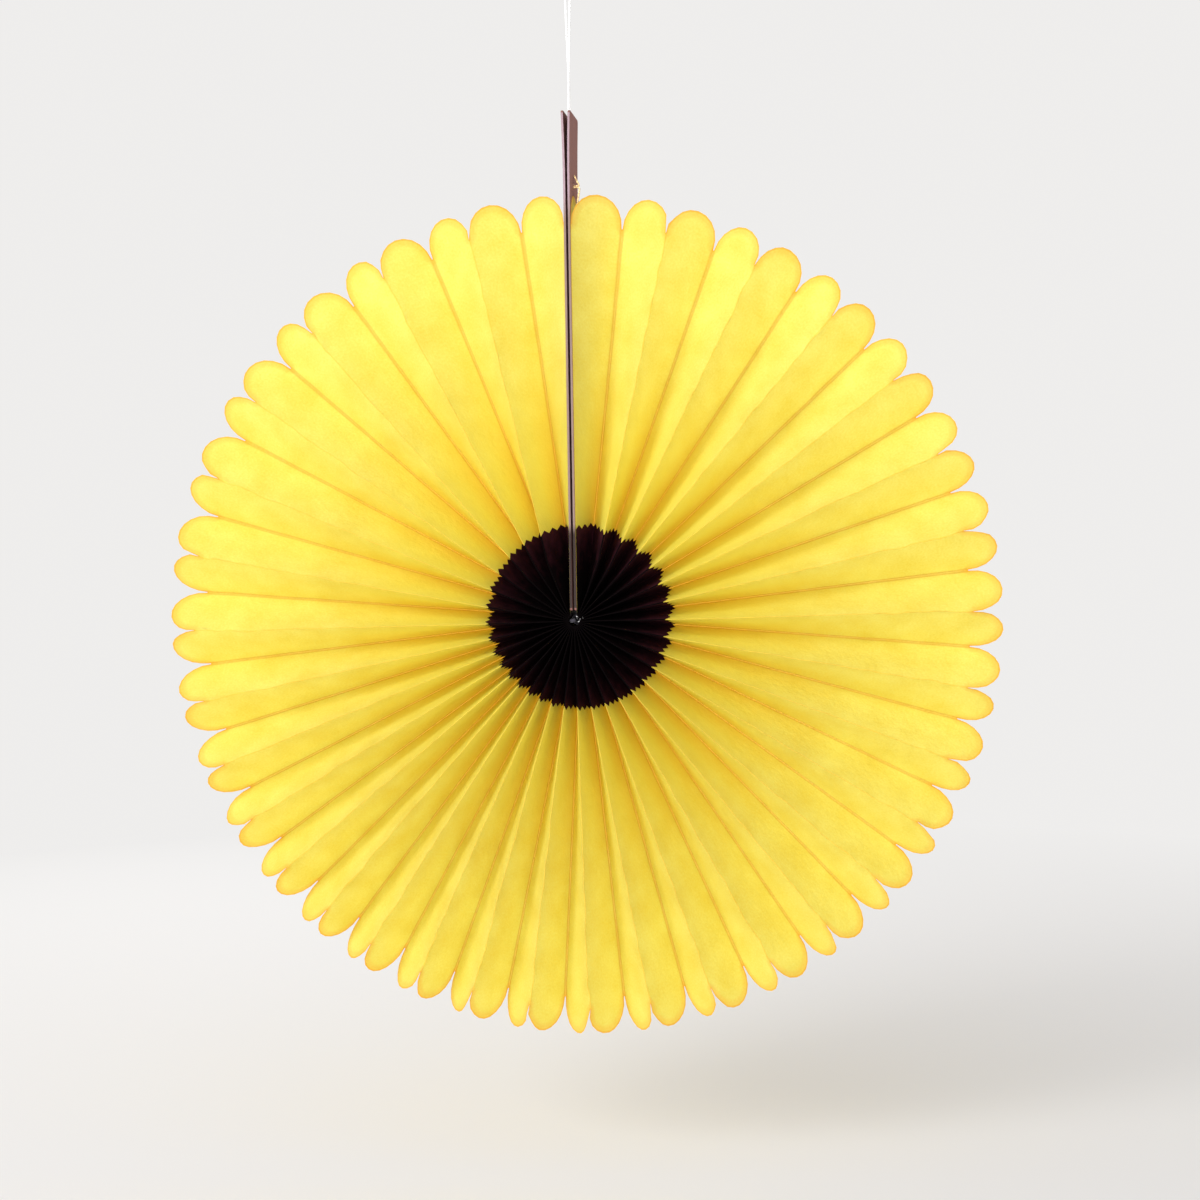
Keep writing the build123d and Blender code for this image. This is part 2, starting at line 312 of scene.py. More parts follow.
def crowded(share, given):
    """Share of the turn that a share of the pleats takes, counted from the top."""
    total = share
    for order in (1, 2):
        turn = share * (order * tau)
        total = total + turn.math("SINE") * given[f"Sine Crowding {order}"]
        total = total + (1 - turn.math("COSINE")) * given[f"Cosine Crowding {order}"]
    return total


def fold_angle(share, radius, given):
    """Angle of a fold: evenly spaced at the hub, crowded towards the bottom further out."""
    spread = 1 - given["Gather Radius"] / radius
    evened = share + spread * (crowded(share, given) - share)
    face = given["Cover Distance"] + given["Front Crest"]
    start = (face / radius).math("ARCSINE")
    return start + (tau - start * 2) * evened


def fold_place(fold, radius, given, back_crest):
    """Arc length round the hub, depth towards the front, and 1 for a front fold."""
    pleats = given["Pleats"]
    share = fold / pleats
    before = ((fold - 1) / pleats).math("MAXIMUM", 0.0)
    after = ((fold + 1) / pleats).math("MINIMUM", 1.0)
    turn = fold_angle(after, radius, given) - fold_angle(before, radius, given)
    run = radius * turn / ((after - before) * pleats) - given["Front Crest"] - back_crest
    width = given["Pleat Width"]
    rise = (width * width - run * run).math("SQRT")
    from_seam = (1 - share * 2).math("ABSOLUTE")
    front = 1 - fold.math("MODULO", 2.0)
    held = (width - rise) * 0.5 * from_seam ** HOLD_POWER
    depth = held + rise * (front - 0.5)
    free = fold.math("GREATER_THAN", 0.5) * (pleats - fold).math("GREATER_THAN", 0.5)
    outward = 1 - radius / given["Petal Radius"]
    gather = given["Gather Radius"]
    growth = ((radius - gather) / (given["Lean Radius"] - gather)).math("MINIMUM", 1.0)
    lean = given["Fold Lean"] * from_seam ** LEAN_POWER * outward * growth * front * free
    side = (0.5 - share).math("SIGN")
    return radius * fold_angle(share, radius, given) + lean * side, depth, front


def petal_end(given, pleat, column):
    """Radius of a petal's rounded end."""
    notch = given["Petal Radius"] - given["Petal Round"]
    return notch + given["Petal Round"] * (column * pi).math("SINE")


def pinked_end(given, pleat, column):
    """Radius of the dark strip's edge, with teeth cut by pinking shears.

    It reaches further at the back folds, and the whole edge lies a little off the middle.
    """
    tooth = 1 - (column * given["Teeth"] * 2).math("PINGPONG", 1.0)
    at_back = (pleat - 1 + column).math("PINGPONG", 1.0)
    turn = pleat / given["Pleats"] * tau
    aside = given["Edge Right"] * turn.math("SINE") + given["Edge Up"] * turn.math("COSINE")
    slanted = given["Edge Slant"] * (at_back - 0.5)
    return given["Edge Radius"] + aside + slanted - given["Tooth Depth"] * tooth


def new_tree(name, sizes, material):
    """A tree with a named input for each size and one for the material."""
    tree = bpy.data.node_groups.new(name, "GeometryNodeTree")
    for size, value in sizes.items():
        kind = "NodeSocketInt" if size in WHOLE_NUMBERS else "NodeSocketFloat"
        socket = tree.interface.new_socket(size, in_out="INPUT", socket_type=kind)
        socket.default_value = value
    tree.interface.new_socket(material, in_out="INPUT", socket_type="NodeSocketMaterial")
    tree.interface.new_socket("Geometry", in_out="OUTPUT", socket_type="NodeSocketGeometry")
    entry = tree.nodes.new("NodeGroupInput")
    given = {size: Number(tree, entry.outputs[size]) for size in sizes}
    return tree, given, entry.outputs[material]


def finish_tree(tree, geometry, material):
    """Realizes the geometry, gives it its material and hands it out."""
    realize = tree.nodes.new("GeometryNodeRealizeInstances")
    tree.links.new(geometry, realize.inputs["Geometry"])
    paint = tree.nodes.new("GeometryNodeSetMaterial")
    tree.links.new(realize.outputs["Geometry"], paint.inputs["Geometry"])
    tree.links.new(material, paint.inputs["Material"])
    leave = tree.nodes.new("NodeGroupOutput")
    tree.links.new(paint.outputs["Geometry"], leave.inputs["Geometry"])


def flat_grid(tree, given):
    """A flat grid, and the pleat, the column and the row from 0 to 1 at each point of it."""
    columns = given["Columns"]
    first = given["First Pleat"]
    total = (given["Pleats"] + 2 - first * 2) * columns
    grid = tree.nodes.new("GeometryNodeMeshGrid")
    plug(tree, total - 1, grid.inputs["Size X"])
    grid.inputs["Size Y"].default_value = 1.0
    plug(tree, total, grid.inputs["Vertices X"])
    plug(tree, given["Rows"], grid.inputs["Vertices Y"])
    place = parts_of(tree, tree.nodes.new("GeometryNodeInputPosition").outputs[0])
    count = (place[0] + (total - 1) * 0.5).math("ROUND")
    pleat = ((count + 0.5) / columns).math("FLOOR")
    column = (count - pleat * columns) / (columns - 1)
    row = (place[1] + 0.5).math("MAXIMUM", 0.0)
    return grid.outputs["Mesh"], pleat + first, column, row


def pleat_sides(tree, given, pleat, radius, nested):
    """Arc, depth and front share of the two sides of each pleat, and how far it stands off.

    The first and last pleats lie flat on the covers. A nested strip follows the folds in
    front of the other one.
    """
    gather = given["Gather Radius"]
    nest = (radius - gather) / (given["Nest Radius"] - gather)
    reach = given["Nest At Edge"] - given["Nest At Hub"]
    stand = given["Nest At Hub"] + nest.math("MINIMUM", 1.0) * reach
    back_crest = given["Back Crest"] + stand
    left_fold = (pleat - 1).math("MAXIMUM", 0.0)
    right_fold = pleat.math("MINIMUM", given["Pleats"])
    left_arc, left_depth, left_front = fold_place(left_fold, radius, given, back_crest)
    right_arc, right_depth, right_front = fold_place(right_fold, radius, given, back_crest)
    is_first = 1 - pleat.math("GREATER_THAN", 0.5)
    is_last = (pleat - given["Pleats"]).math("GREATER_THAN", 0.5)
    crest = given["Front Crest"] - back_crest
    left_half = back_crest + crest * left_front
    right_half = back_crest + crest * right_front
    forward = constant(tree, 0.0)
    if nested:
        run = right_arc - right_half - left_arc - left_half
        drop = (right_depth - left_depth).math("ABSOLUTE")
        slant = (drop.math("ARCTAN2", run) * 0.5).math("TANGENT")
        left_half = left_half + stand * slant * (left_front * 2 - 1)
        right_half = right_half + stand * slant * (right_front * 2 - 1)
        forward = stand
    width = given["Pleat Width"]
    left = (left_arc + left_half * (1 - is_first * 2), left_depth - width * is_first, left_front)
    right = (right_arc - right_half * (1 - is_last * 2), right_depth - width * is_last,
             right_front)
    return left, right, forward


def strip_points(tree, given, pleat, across, radius, nested):
    """Where each point of the strip lies once it is folded round the hub."""
    left, right, forward = pleat_sides(tree, given, pleat, radius, nested)
    width = given["Pleat Width"]
    bulge = noise(tree, xyz(tree, (pleat + across) * width, radius, given["Seed"]),
                  given["Bulge Scale"])

    # The front folds waver and the pleats bulge, but not at the hub or on the covers
    calm = given["Calm Radius"]
    growth = ((radius - calm) / (given["Petal Radius"] - calm)).clamped()
    from_first = (pleat + across - 1).clamped()
    from_last = (given["Pleats"] + 1 - pleat - across).clamped()
    loose = growth * (from_first * from_last)
    mix = tree.nodes.new("ShaderNodeMix")
    mix.data_type = "VECTOR"
    plug(tree, across, mix.inputs[0])
    sides = ((pleat, left, mix.inputs[4]), (pleat + 1, right, mix.inputs[5]))
    for fold, (arc, depth, front), end in sides:
        waves = noise(tree, xyz(tree, fold * width, radius, given["Seed"]),
                      given["Wave Scale"])
        waver = given["Waviness"] * loose * (front * (1 - BACK_WAVER) + BACK_WAVER)
        turn = (arc + waves[0] * waver) / radius
        x = radius * turn.math("SINE")
        y = 0 - (depth + forward + waves[1] * waver + bulge[1] * given["Buckling"] * loose)
        z = given["Hub Height"] + radius * turn.math("COSINE")
        plug(tree, xyz(tree, x, y, z), end)
    return mix.outputs[1]


def sharp_folds(tree, geometry):
    """Smooth pleats between sharp folds and sharp cut edges."""
    angle = Number(tree, tree.nodes.new("GeometryNodeInputMeshEdgeAngle").outputs[0])
    beside = Number(tree, tree.nodes.new("GeometryNodeInputMeshEdgeNeighbors").outputs[0])
    sharp = angle.math("GREATER_THAN", SHARP_ANGLE) + beside.math("LESS_THAN", 1.5)
    for domain, where, smooth in (("FACE", True, True), ("EDGE", sharp, False)):
        shade = tree.nodes.new("GeometryNodeSetShadeSmooth")
        shade.domain = domain
        tree.links.new(geometry, shade.inputs["Geometry"])
        plug(tree, where, shade.inputs["Selection"])
        shade.inputs["Shade Smooth"].default_value = smooth
        geometry = shade.outputs["Geometry"]
    return geometry


def tissue_tree(name, end_radius, extra, nested):
    """Geometry nodes for one pleated strip: a flat grid is bent into folds round the hub."""
    tree, given, paper = new_tree(name, {**TISSUE_SIZES, **PAPER_NOISE, **extra}, "Paper")
    grid, pleat, column, row = flat_grid(tree, given)
    across = column if nested else 0.5 - (column * pi).math("COSINE") * 0.5
    gather = given["Gather Radius"]
    radius = gather + (end_radius(given, pleat, column) - gather) * row ** given["Row Spacing"]

    # A map that follows the strip: u counts the pleats, v the distance from the hub.
    # It is stored on the flat grid, before the fields that it reads are bent away.
    store = tree.nodes.new("GeometryNodeStoreNamedAttribute")
    store.data_type = "FLOAT2"
    store.domain = "CORNER"
    store.inputs["Name"].default_value = "strip"
    tree.links.new(grid, store.inputs["Geometry"])
    along = (pleat + MAP_MARGIN + across * (1 - 2 * MAP_MARGIN)) / (given["Pleats"] + 2)
    tree.links.new(xyz(tree, along, radius / given["Petal Radius"], 0.0), store.inputs["Value"])

    bend = tree.nodes.new("GeometryNodeSetPosition")
    tree.links.new(store.outputs["Geometry"], bend.inputs["Geometry"])
    points = strip_points(tree, given, pleat, across, radius, nested)
    tree.links.new(points, bend.inputs["Position"])
    finish_tree(tree, sharp_folds(tree, bend.outputs["Geometry"]), paper)
    return tree


def thread_tree():
    """Geometry nodes for the thread that is wound up inside the ring at the hub."""
    tree, given, thread = new_tree("Thread core", {
        "Turns": 1.7, "Inner Radius": 0.00012, "Outer Radius": 0.00098,
        "Depth": 0.0012, "Thickness": 0.0006}, "Thread")
    spiral = tree.nodes.new("GeometryNodeCurveSpiral")
    spiral.inputs["Resolution"].default_value = 40
    plug(tree, given["Turns"], spiral.inputs["Rotations"])
    plug(tree, given["Inner Radius"], spiral.inputs["Start Radius"])
    plug(tree, given["Outer Radius"], spiral.inputs["End Radius"])
    plug(tree, given["Depth"], spiral.inputs["Height"])
    section = tree.nodes.new("GeometryNodeCurvePrimitiveCircle")
    section.inputs["Resolution"].default_value = 10
    plug(tree, given["Thickness"] * 0.5, section.inputs["Radius"])
    tube = tree.nodes.new("GeometryNodeCurveToMesh")
    tube.inputs["Fill Caps"].default_value = True
    tree.links.new(spiral.outputs[0], tube.inputs["Curve"])
    tree.links.new(section.outputs[0], tube.inputs["Profile Curve"])
    finish_tree(tree, tube.outputs[0], thread)
    return tree


def made_by_nodes(name, tree, values):
    """Runs a tree on an empty mesh and keeps its result as a plain mesh object."""
    mesh = bpy.data.meshes.new(name)
    piece = bpy.data.objects.new(name, mesh)
    bpy.context.scene.collection.objects.link(piece)
    modifier = piece.modifiers.new("Shape", "NODES")
    modifier.node_group = tree
    for socket in tree.interface.items_tree:
        if socket.name in values:
            modifier[socket.identifier] = values[socket.name]
    piece.update_tag()
    bpy.context.view_layer.update()
    evaluated = piece.evaluated_get(bpy.context.evaluated_depsgraph_get())
    made = bpy.data.meshes.new_from_object(evaluated)
    piece.modifiers.clear()
    piece.data = made
    bpy.data.meshes.remove(mesh)
    made.name = name
    return piece


def face_outwards(piece):
    """Turns the strip's faces to the front."""
    mesh = piece.data
    front = sum(face.normal.y * face.area for face in mesh.polygons)
    if front > 0:
        mesh.flip_normals()


def give_thickness(piece, thickness):
    solidify = piece.modifiers.new("Thickness", "SOLIDIFY")
    solidify.thickness = thickness
    solidify.offset = 0.0


# Materials

def new_material(name, roughness, **settings):
    """A material with one Principled shader; plain numbers go on its own sockets."""
    material = bpy.data.materials.new(name)
    material.use_nodes = True
    tree = material.node_tree
    shader = tree.nodes["Principled BSDF"]
    shader.inputs["Roughness"].default_value = roughness
    for socket, value in settings.items():
        shader.inputs[socket.replace("_", " ")].default_value = value
    return material, tree, shader


def object_place(tree):
    return tree.nodes.new("ShaderNodeTexCoord").outputs["Object"]


def blended(tree, share, first, second):
    """A colour between two others."""
    mix = tree.nodes.new("ShaderNodeMix")
    mix.data_type = "RGBA"
    plug(tree, share, mix.inputs[0])
    for value, socket in ((first, mix.inputs[6]), (second, mix.inputs[7])):
        plug(tree, (*value, 1.0) if isinstance(value, (tuple, list)) else value, socket)
    return mix.outputs[2]


def tinted(colour, share):
    """A colour with its parts multiplied by one number or by three, up to 1."""
    shares = share if isinstance(share, tuple) else (share,) * 3
    return tuple(min(1.0, part * each) for part, each in zip(colour, shares))


def inside(distance, end, fade):
    """1 near the hub, fading to 0 where the distance reaches its end."""
    return ((end - distance) / fade).clamped()


def line(distance, width):
    """1 within a distance of a line, fading over as much again."""
    return (2 - distance / width).clamped()


def bumped(tree, shader, height, distance):
    bump = tree.nodes.new("ShaderNodeBump")
    bump.inputs["Distance"].default_value = distance
    plug(tree, height, bump.inputs["Height"])
    tree.links.new(bump.outputs[0], shader.inputs["Normal"])


def strip_place(tree):
    """Pleat count and distance from the hub, read from the strip's own map."""
    strip = tree.nodes.new("ShaderNodeUVMap")
    strip.uv_map = "strip"
    u, v, _ = parts_of(tree, strip.outputs[0])
    return u * (TISSUE_SIZES["Pleats"] + 2), v * TISSUE_SIZES["Petal Radius"]


def seen_through(tree, shader, colour, share):
    """Lets some light through the tissue, and leaves the rest on its face."""
    through = tree.nodes.new("ShaderNodeBsdfTranslucent")
    plug(tree, colour, through.inputs["Color"])
    mix = tree.nodes.new("ShaderNodeMixShader")
    mix.inputs[0].default_value = share
    tree.links.new(shader.outputs[0], mix.inputs[1])
    tree.links.new(through.outputs[0], mix.inputs[2])
    tree.links.new(mix.outputs[0], tree.nodes["Material Output"].inputs["Surface"])


def yellow_tissue(settings):
    material, tree, shader = new_material(
        "yellow tissue", roughness=0.7, Specular_IOR_Level=0.2)
    count, radius = strip_place(tree)
    width = TISSUE_SIZES["Pleat Width"]
    sheet = xyz(tree, count * width, radius, 0.0)

    # Cloudy thin paper: thicker and thinner patches, with a fine grain
    patch = noise(tree, sheet, scale=75.0, detail=3.0)[0]
    grain = noise(tree, sheet, scale=1100.0, detail=3.0)[0]
    pale = tuple(min(1.0, part * 1.02 + 0.06) for part in settings.yellow)
    deep = tinted(settings.yellow, (1.0, 0.91, 0.55))
    colour = blended(tree, (patch * 0.6 + grain * 0.5 + 0.5).clamped(), deep, pale)

    # Painted bounce light: a brighter, richer yellow near the dark centre; and painted shade in
    # honey yellow down in the valleys, most near the dark centre
    bounce_yellow = tinted(settings.yellow, (1.09, 1.06, 0.7))
    colour = blended(tree, inside(radius, end=0.1, fade=0.05) * 0.8, colour, bounce_yellow)
    fold = count.math("PINGPONG", 1.0)
    from_back = fold * width
    shade_honey = tinted(settings.orange, (1.0, 1.28, 1.5))
    valley_shade = (1 - from_back / VALLEY_WIDTH).clamped() * inside(radius, end=0.11, fade=0.06)
    colour = blended(tree, valley_shade * 0.55, colour, shade_honey)

    # Painted shade in orange in the creases of the back folds and softly along the front folds,
    # and the dyed rims of the rounded ends
    crease_shade = tinted(settings.orange, (0.84, 0.9, 1.0))
    colour = blended(tree, line(from_back, CREASE_SHADE_WIDTH) * 0.42, colour, crease_shade)
    colour = blended(tree, line(width - from_back, FOLD_SHADE_WIDTH) * 0.4, colour, shade_honey)
    petal_round = TISSUE_SIZES["Petal Round"]
    notch = TISSUE_SIZES["Petal Radius"] - petal_round
    beyond = (radius - notch) / petal_round
    side = fold * 2 - 1
    past = beyond.math("MAXIMUM", 0.0)
    from_rim = 1 - (side * side + past * past).math("SQRT") - beyond.math("MINIMUM", 0.0)
    rim = from_rim * petal_round
    dyed = line(rim, RIM_WIDTH) * 0.4 + line(rim, SOAK_WIDTH) * 0.25
    colour = blended(tree, dyed.clamped(), colour, settings.orange[:])

    # Painted shade where the strips are gathered at the hub, and near black on the panels beside
    # the covers inside the dark centre
    hub_shade = (1.6 - radius / 0.005).clamped()
    half = TISSUE_SIZES["Pleats"] * 0.5
    from_seam = (half + 1 - count).math("ABSOLUTE")
    on_cover = from_seam.math("GREATER_THAN", half)
    by_centre = inside(radius, end=TISSUE_SIZES["Nest Radius"], fade=0.002)
    rubbed = hub_shade.math("MAXIMUM", on_cover * by_centre * 0.95)
    colour = blended(tree, rubbed, colour, tinted(settings.dark, 3))
    plug(tree, colour, shader.inputs["Base Color"])

    # Soft cockles, the same in all directions
    cockle = noise(tree, sheet, scale=330.0)[1]
    bumped(tree, shader, cockle * 0.8 + grain * 0.2, distance=0.0002)
    seen_through(tree, shader, colour, share=0.5)
    return material


def dark_tissue(settings):
    material, tree, shader = new_material(
        "dark tissue", roughness=0.8, Specular_IOR_Level=0.03)
    count, radius = strip_place(tree)
    width = TISSUE_SIZES["Pleat Width"]
    sheet = xyz(tree, count * width, radius, 0.0)
    cloud, grain, _ = noise(tree, sheet, scale=220.0, detail=4.0)

    # Lighter plum brown in cloudy patches and towards the pinked edge
    plum_brown = tinted(settings.dark, (12.0, 5.0, 6.5))
    near_edge = (radius / TISSUE_SIZES["Nest Radius"]) ** 2.5
    # Painted shade along the front folds: the crests are kept dark where they catch the light
    front_fold_shade = line((1 - count.math("PINGPONG", 1.0)) * width, 0.0003)
    share = (cloud * 0.6 + near_edge * 0.9 - 0.15).clamped() * (1 - front_fold_shade)
    colour = blended(tree, share, settings.dark[:], plum_brown)
    colour = blended(tree, front_fold_shade * 0.9, colour, tinted(settings.dark, 0.3))
    plug(tree, colour, shader.inputs["Base Color"])
    bumped(tree, shader, grain, distance=0.0002)
    return material


def cardboard(settings):
    material, tree, shader = new_material(
        "cardboard", roughness=0.8, Specular_IOR_Level=0.2)
    place = object_place(tree)
    _, depth, height = parts_of(tree, place)
    fibres, mottle, _ = noise(tree, place, scale=700.0, detail=4.0)
    edge = line(COVER_HALF - depth.math("ABSOLUTE"), CUT_DEPTH)
    face = blended(tree, (mottle * 0.5 + 0.5).clamped(),
                   tinted(settings.face, 0.8), settings.face[:])
    board = blended(tree, (fibres * 0.6 + 0.5).clamped(),
                    tinted(settings.edge, 0.75), settings.edge[:])

    # Painted shade on the cut edges: yellow-brown among the petals, near black by the dark
    # centre
    from_hub = height - TISSUE_SIZES["Hub Height"]
    by_petals = inside(from_hub, end=TISSUE_SIZES["Petal Radius"], fade=0.01)
    by_centre = inside(from_hub, end=TISSUE_SIZES["Nest Radius"], fade=0.004)
    board = blended(tree, by_petals * 0.5, board, PETAL_SHADE)
    board = blended(tree, by_centre * 0.9, board, CENTRE_SHADE)
    plug(tree, blended(tree, edge, face, board), shader.inputs["Base Color"])
    bumped(tree, shader, fibres, distance=0.0001)
    return material


def fastener_brass(settings):
    material, tree, shader = new_material("fastener brass", roughness=0.3, Metallic=1.0)
    rubbed = noise(tree, object_place(tree), scale=900.0, detail=3.0)
    colour = blended(tree, (rubbed[0] * 0.5 + 0.5).clamped(),
                     tinted(settings.brass, 0.7), settings.brass[:])
    plug(tree, colour, shader.inputs["Base Color"])
    plug(tree, rubbed[1] * 0.08 + 0.3, shader.inputs["Roughness"])
    bumped(tree, shader, rubbed[2], distance=0.00003)
    return material


def cotton(name, colour, scale, twists=0):
    """Fuzzy yarn; with twists it shows the plies that wind round its length."""
    material, tree, shader = new_material(
        name, roughness=0.85, Specular_IOR_Level=0.2, Sheen_Weight=0.2)
    fuzz = noise(tree, object_place(tree), scale, detail=4.0)
    light = fuzz[0] * 0.5 + 0.7
    height = fuzz[1] * 0.3
    if twists:
        along, round_it, _ = parts_of(tree, tree.nodes.new("ShaderNodeTexCoord").outputs["UV"])
        ply = ((along * twists + round_it * 2) * tau).math("SINE")
        light = light + ply * 0.06 + 0.06
        height = height + ply * 0.15
    shade = blended(tree, light.clamped(), tinted(colour, 0.72), colour[:])
    plug(tree, shade, shader.inputs["Base Color"])
    bumped(tree, shader, height, distance=0.0001)
    return material


def repaint(node, material):
    """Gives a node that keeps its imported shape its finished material."""
    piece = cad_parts[node]
    if not piece.material_slots:
        piece.data.materials.append(material)
    for place in piece.material_slots:
        place.material = material


# Stage

def set_camera(scene, settings, hub):
    """A camera that looks at the fan from the photo's side."""
    # Camera axes: right, up and back, seen from the fan
    yaw, pitch, roll = settings.yaw, settings.pitch, settings.roll
    right = Vector((cos(yaw), sin(yaw), 0.0))
    up = Vector((-sin(yaw) * sin(pitch), cos(yaw) * sin(pitch), cos(pitch)))
    back = Vector((sin(yaw) * cos(pitch), -cos(yaw) * cos(pitch), sin(pitch)))
    right, up = right * cos(roll) + up * sin(roll), up * cos(roll) - right * sin(roll)
    camera = bpy.data.cameras.new("camera")
    camera.lens = LENS
    camera.sensor_width = FILM
    eye = bpy.data.objects.new("camera", camera)
    scene.collection.objects.link(eye)
    eye.matrix_world = Matrix((
        (right.x, up.x, back.x, 0.0),
        (right.y, up.y, back.y, 0.0),
        (right.z, up.z, back.z, 0.0),
        (0.0, 0.0, 0.0, 1.0),
    ))
    # The hub lies a little left of and below the middle of the picture
    middle = hub + right * PICTURE_RIGHT + up * PICTURE_UP
    eye.location = middle + back * settings.distance
    scene.camera = eye


def hang_lamps(scene, hub):
    for name, place, side, watts in LAMPS:
        lamp = bpy.data.lights.new(name, "AREA")
        lamp.shape = "SQUARE"
        lamp.size = side
        lamp.energy = watts
        holder = bpy.data.objects.new(name, lamp)
        holder.location = place
        aim = hub - Vector(place)
        holder.rotation_euler = aim.to_track_quat("-Z", "Y").to_euler()
        scene.collection.objects.link(holder)


def set_world(scene, backdrop):
    """Soft light from all round, and the plain backdrop where the camera looks past."""
    world = bpy.data.worlds.new("pale room")
    world.use_nodes = True
    scene.world = world
    tree = world.node_tree
    path = tree.nodes.new("ShaderNodeLightPath")
    light = tree.nodes["Background"]
    light.inputs["Color"].default_value = WORLD_COLOUR
    light.inputs["Strength"].default_value = WORLD_STRENGTH
    shown = tree.nodes.new("ShaderNodeBackground")
    shown.inputs["Color"].default_value = backdrop
    mix = tree.nodes.new("ShaderNodeMixShader")
    # Metal and gloss show the backdrop too, and light through the tissue stays the room's
    seen = Number(tree, path.outputs["Is Camera Ray"])
    for ray in ("Is Glossy Ray", "Is Transmission Ray"):
        seen = seen.math("MAXIMUM", path.outputs[ray])
    plug(tree, seen.math("SUBTRACT", path.outputs["Is Diffuse Ray"], clamp=True),
         mix.inputs[0])
    tree.links.new(light.outputs[0], mix.inputs[1])
    tree.links.new(shown.outputs[0], mix.inputs[2])
    tree.links.new(mix.outputs[0], tree.nodes["World Output"].inputs["Surface"])


def pale_floor(backdrop):
    """Matt near the fan; further out it glows in the backdrop's colour, without a horizon."""
    material, tree, shader = new_material(
        "pale floor", roughness=0.9, Specular_IOR_Level=0.1)
    shader.inputs["Base Color"].default_value = backdrop
    glow = tree.nodes.new("ShaderNodeEmission")
    glow.inputs["Color"].default_value = backdrop
    x, y, _ = parts_of(tree, object_place(tree))
    away = ((x * x + y * y).math("SQRT") - FADE_START) / FADE_REACH
    fade = tree.nodes.new("ShaderNodeMixShader")
    plug(tree, away.clamped(), fade.inputs[0])
    tree.links.new(shader.outputs[0], fade.inputs[1])
    tree.links.new(glow.outputs[0], fade.inputs[2])
    tree.links.new(fade.outputs[0], tree.nodes["Material Output"].inputs["Surface"])
    return material


def lay_floor(scene, backdrop):
    height = CAD_BOX[0].z - FLOOR_GAP
    corners = [(-1, -1), (1, -1), (1, 1), (-1, 1)]
    mesh = bpy.data.meshes.new("floor")
    mesh.from_pydata([(x * FLOOR_HALF, y * FLOOR_HALF, height) for x, y in corners],
                     [], [(0, 1, 2, 3)])
    mesh.materials.append(pale_floor(backdrop))
    floor = bpy.data.objects.new("floor", mesh)
    scene.collection.objects.link(floor)


# Operators, one for each piece or group of like pieces

class FAN_OT_stage(Operator):
    """Sets up the camera, the lamps, the pale backdrop and the floor"""
    bl_idname = "fan.stage"
    bl_label = "Stage"

    def execute(self, context):
        settings = context.scene.fan_stage
        scene = context.scene
        scene.view_settings.view_transform = "Standard"
        hub = Vector((0.0, 0.0, TISSUE_SIZES["Hub Height"]))
        backdrop = (*settings.backdrop, 1.0)
        set_camera(scene, settings, hub)
        hang_lamps(scene, hub)
        set_world(scene, backdrop)
        lay_floor(scene, backdrop)
        return {"FINISHED"}


class FAN_OT_petals(Operator):
    """Makes the yellow pleated strip with its rounded petals"""
    bl_idname = "fan.petals"
    bl_label = "Petals"

    def execute(self, context):
        settings = context.scene.fan_tissue
        extra = {
            "First Pleat": 0.0, "Columns": 11, "Rows": 60, "Row Spacing": 1.0,
            "Waviness": settings.waviness, "Buckling": settings.buckling,
        }
        tree = tissue_tree("Petal strip", petal_end, extra, nested=False)
        petals = made_by_nodes("petals", tree, {"Paper": yellow_tissue(settings)})
        face_outwards(petals)
        give_thickness(petals, settings.thickness)
        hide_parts("petal_fan")
        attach(petals, "root")
        return {"FINISHED"}


class FAN_OT_centre(Operator):
    """Makes the dark pleated strip with its pinked edge"""
    bl_idname = "fan.centre"
    bl_label = "Dark Centre"

    def execute(self, context):
        settings = context.scene.fan_tissue
        extra = {
            "First Pleat": 1.0, "Columns": settings.teeth * 2 + 1, "Rows": 18,
            "Row Spacing": 1.1, "Waviness": 0.0, "Buckling": 0.0,
            "Teeth": settings.teeth, "Tooth Depth": settings.tooth_depth,
            "Edge Radius": 0.0367, "Edge Slant": 0.0013, "Edge Right": 0.001,
            "Edge Up": 0.0008,
        }
        tree = tissue_tree("Dark strip", pinked_end, extra, nested=True)
        centre = made_by_nodes("dark_petal_ring", tree, {"Paper": dark_tissue(settings)})
        face_outwards(centre)
        give_thickness(centre, settings.thickness)
        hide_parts("dark_centre")
        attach(centre, "root")
        return {"FINISHED"}


class FAN_OT_covers(Operator):
    """Finishes the cardboard covers and the brass fastener"""
    bl_idname = "fan.covers"
    bl_label = "Covers and Fastener"

    def execute(self, context):
        settings = context.scene.fan_covers
        board = cardboard(settings)
        repaint("cover_left", board)
        repaint("cover_right", board)
        repaint("paper_fastener", fastener_brass(settings))
        return {"FINISHED"}


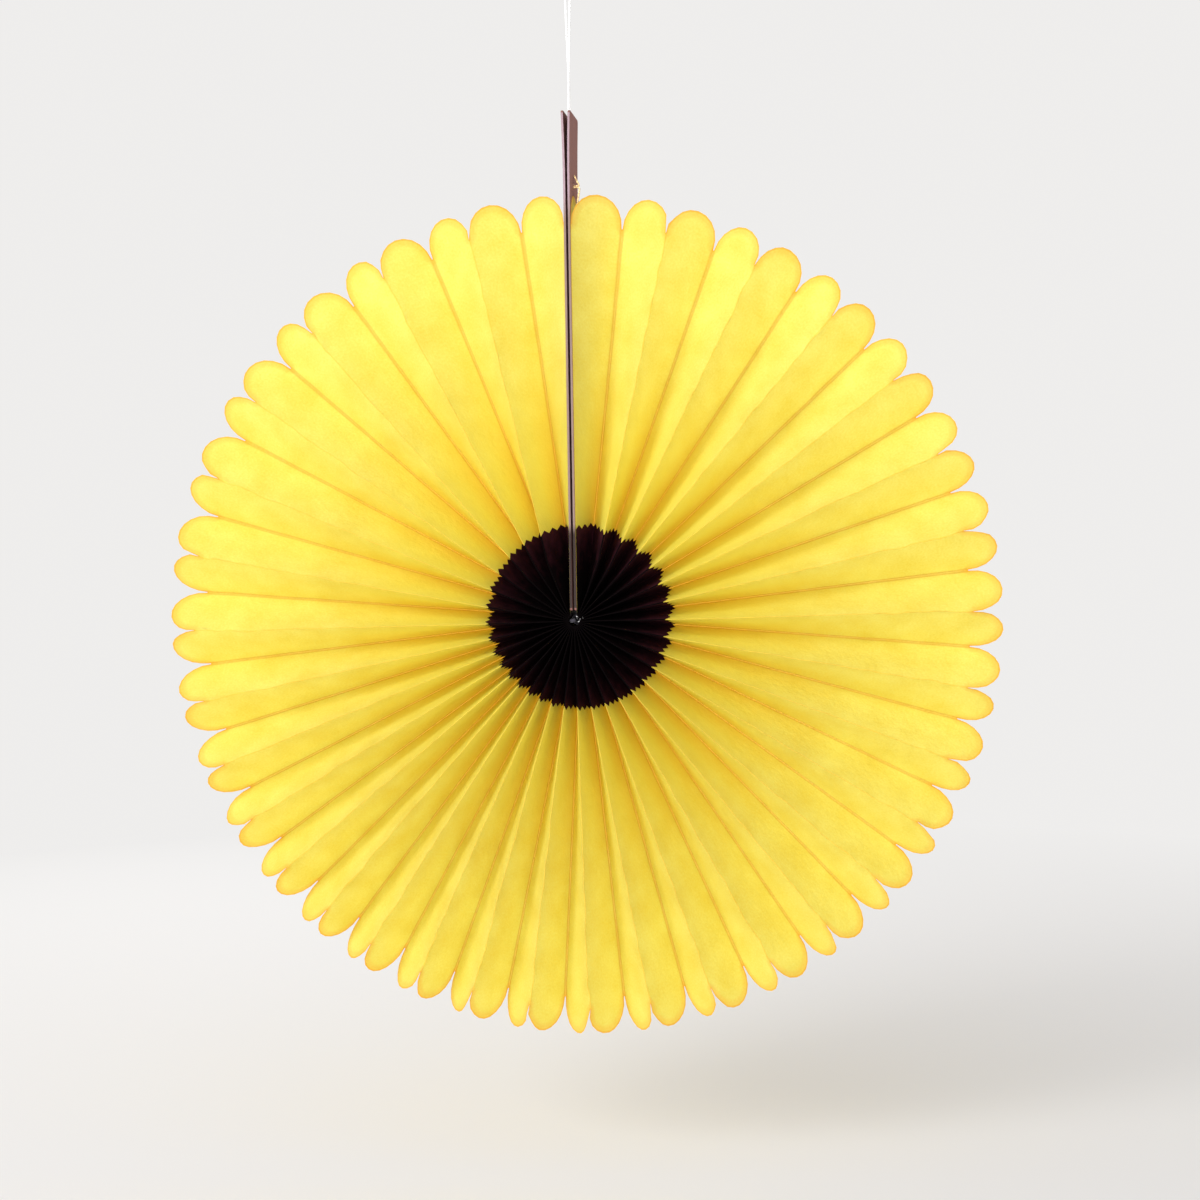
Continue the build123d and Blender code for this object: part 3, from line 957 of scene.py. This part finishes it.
class FAN_OT_string(Operator):
    """Makes the hanging string and finishes the thread at the hub"""
    bl_idname = "fan.string"
    bl_label = "String and Thread"

    def execute(self, context):
        settings = context.scene.fan_string
        curve = bpy.data.curves.new("hanging_cord", "CURVE")
        curve.dimensions = "3D"
        curve.bevel_depth = settings.diameter / 2
        curve.bevel_resolution = 5
        curve.use_fill_caps = True
        curve.resolution_u = 24
        spline = curve.splines.new("NURBS")
        spline.points.add(len(STRING_ROUTE) - 1)
        for point, place in zip(spline.points, STRING_ROUTE):
            point.co = (*place, 1.0)
        spline.order_u = 3
        spline.use_endpoint_u = True
        string = bpy.data.objects.new("hanging_cord", curve)
        context.scene.collection.objects.link(string)
        curve.materials.append(
            cotton("white cotton", settings.white, scale=2600.0, twists=150))
        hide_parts("hanging_string")
        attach(string, "root")
        repaint("centre_thread", cotton("grey thread", settings.thread, scale=3200.0))
        core = made_by_nodes("thread_core", thread_tree(), {
            "Thread": cotton("shaded thread", tinted(settings.thread, 0.3), scale=3200.0)})
        core.data.transform(Matrix.Rotation(pi / 2, 4, "X"))
        core.data.transform(Matrix.Translation((0.0, 0.0, TISSUE_SIZES["Hub Height"])))
        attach(core, "root")
        return {"FINISHED"}


class FAN_PT_panel(Panel):
    """Lists the sizes, the colours and the steps that make the fan"""
    bl_label = "Paper Fan"
    bl_idname = "FAN_PT_panel"
    bl_space_type = "VIEW_3D"
    bl_region_type = "UI"
    bl_category = "Paper Fan"

    def draw(self, context):
        layout = self.layout
        for group, operators in PANEL_ROWS:
            settings = getattr(context.scene, group)
            box = layout.box()
            for name in settings.__annotations__:
                box.prop(settings, name)
            for operator in operators:
                box.operator(operator)


PANEL_ROWS = (
    ("fan_stage", ("fan.stage",)),
    ("fan_string", ("fan.string",)),
    ("fan_tissue", ("fan.petals", "fan.centre")),
    ("fan_covers", ("fan.covers",)),
)
SETTINGS = {
    "fan_tissue": TissueSettings,
    "fan_covers": CoverSettings,
    "fan_string": StringSettings,
    "fan_stage": StageSettings,
}
CLASSES = (
    *SETTINGS.values(), FAN_OT_stage, FAN_OT_petals, FAN_OT_centre, FAN_OT_covers,
    FAN_OT_string, FAN_PT_panel,
)


def register():
    for each in CLASSES:
        bpy.utils.register_class(each)
    for name, group in SETTINGS.items():
        setattr(bpy.types.Scene, name, PointerProperty(type=group))


def unregister():
    for name in SETTINGS:
        delattr(bpy.types.Scene, name)
    for each in reversed(CLASSES):
        bpy.utils.unregister_class(each)


def main():
    register()
    for _, operators in PANEL_ROWS:
        for operator in operators:
            group, name = operator.split(".")
            getattr(getattr(bpy.ops, group), name)()


if __name__ == "__main__":
    main()
